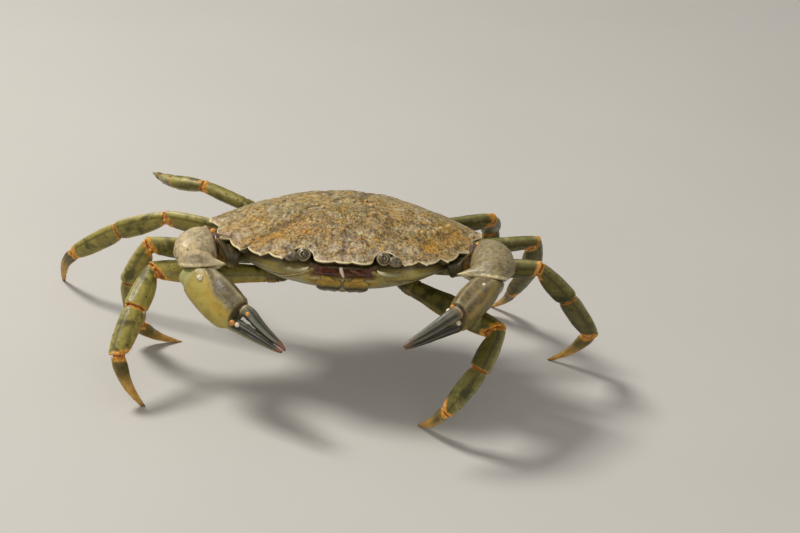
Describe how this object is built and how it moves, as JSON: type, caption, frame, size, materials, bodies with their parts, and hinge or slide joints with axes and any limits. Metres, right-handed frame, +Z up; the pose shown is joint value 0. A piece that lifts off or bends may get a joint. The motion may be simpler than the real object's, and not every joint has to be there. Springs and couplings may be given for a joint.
{
  "type": "shore crab model",
  "caption": "Still, life-size green shore crab standing on its legs with both claws folded before its mouth and one rear leg raised.",
  "frame": {"origin": "on the floor, under the middle of the model's bounding box", "axes": "+Z up; the crab faces -Y, and +X is its left"},
  "size_m": [0.1305, 0.0854, 0.0413],
  "materials": {
    "back_shell": "Granular shell, olive to brown and ochre mottling with grey-violet and cream grains, damp satin gloss.",
    "under_shell": "Smooth yellow-olive under shell with pale blue-grey patches, damp satin gloss.",
    "limb_shell": "Olive green leg shell with fine dark dots and paler ridges, orange skin at the joints.",
    "toe_shell": "Yellow-tan ribbed toe shell, browner at the tip.",
    "claw_shell": "Yellow-olive claw shell with grey-violet upper face and dark brown dots, cream edges.",
    "finger_shell": "Blue-grey finger with dark lengthwise grooves and a brown tip.",
    "eye": "Glossy near-black eye with a pale grey ring.",
    "feeler": "Pale tan jointed feelers and eyestalks."
  },
  "bodies": {
    "root": {"carapace": "back_shell", "trunk": "under_shell", "abdomen": "under_shell", "leg2_left_merus": "limb_shell", "leg2_left_carpus": "limb_shell", "leg2_left_propodus": "limb_shell", "leg2_left_dactyl": "toe_shell", "leg3_left_merus": "limb_shell", "leg3_left_carpus": "limb_shell", "leg3_left_propodus": "limb_shell", "leg3_left_dactyl": "toe_shell", "leg4_left_merus": "limb_shell", "leg4_left_carpus": "limb_shell", "leg4_left_propodus": "limb_shell", "leg4_left_dactyl": "toe_shell", "leg5_left_merus": "limb_shell", "leg5_left_carpus": "limb_shell", "leg5_left_propodus": "limb_shell", "leg5_left_dactyl": "toe_shell", "claw_left_merus": "claw_shell", "claw_left_carpus": "claw_shell", "claw_left_palm": "claw_shell", "claw_left_finger": "finger_shell", "eye_left": "eye", "eyestalk_left": "feeler", "antenna_left": "feeler", "antennule_left": "feeler", "maxilliped_left": "under_shell", "leg2_right_merus": "limb_shell", "leg2_right_carpus": "limb_shell", "leg2_right_propodus": "limb_shell", "leg2_right_dactyl": "toe_shell", "leg3_right_merus": "limb_shell", "leg3_right_carpus": "limb_shell", "leg3_right_propodus": "limb_shell", "leg3_right_dactyl": "toe_shell", "leg4_right_merus": "limb_shell", "leg4_right_carpus": "limb_shell", "leg4_right_propodus": "limb_shell", "leg4_right_dactyl": "toe_shell", "leg5_right_merus": "limb_shell", "leg5_right_carpus": "limb_shell", "leg5_right_propodus": "limb_shell", "leg5_right_dactyl": "toe_shell", "claw_right_merus": "claw_shell", "claw_right_carpus": "claw_shell", "claw_right_palm": "claw_shell", "claw_right_finger": "finger_shell", "eye_right": "eye", "eyestalk_right": "feeler", "antenna_right": "feeler", "antennule_right": "feeler", "maxilliped_right": "under_shell"}
  },
  "joints": []
}
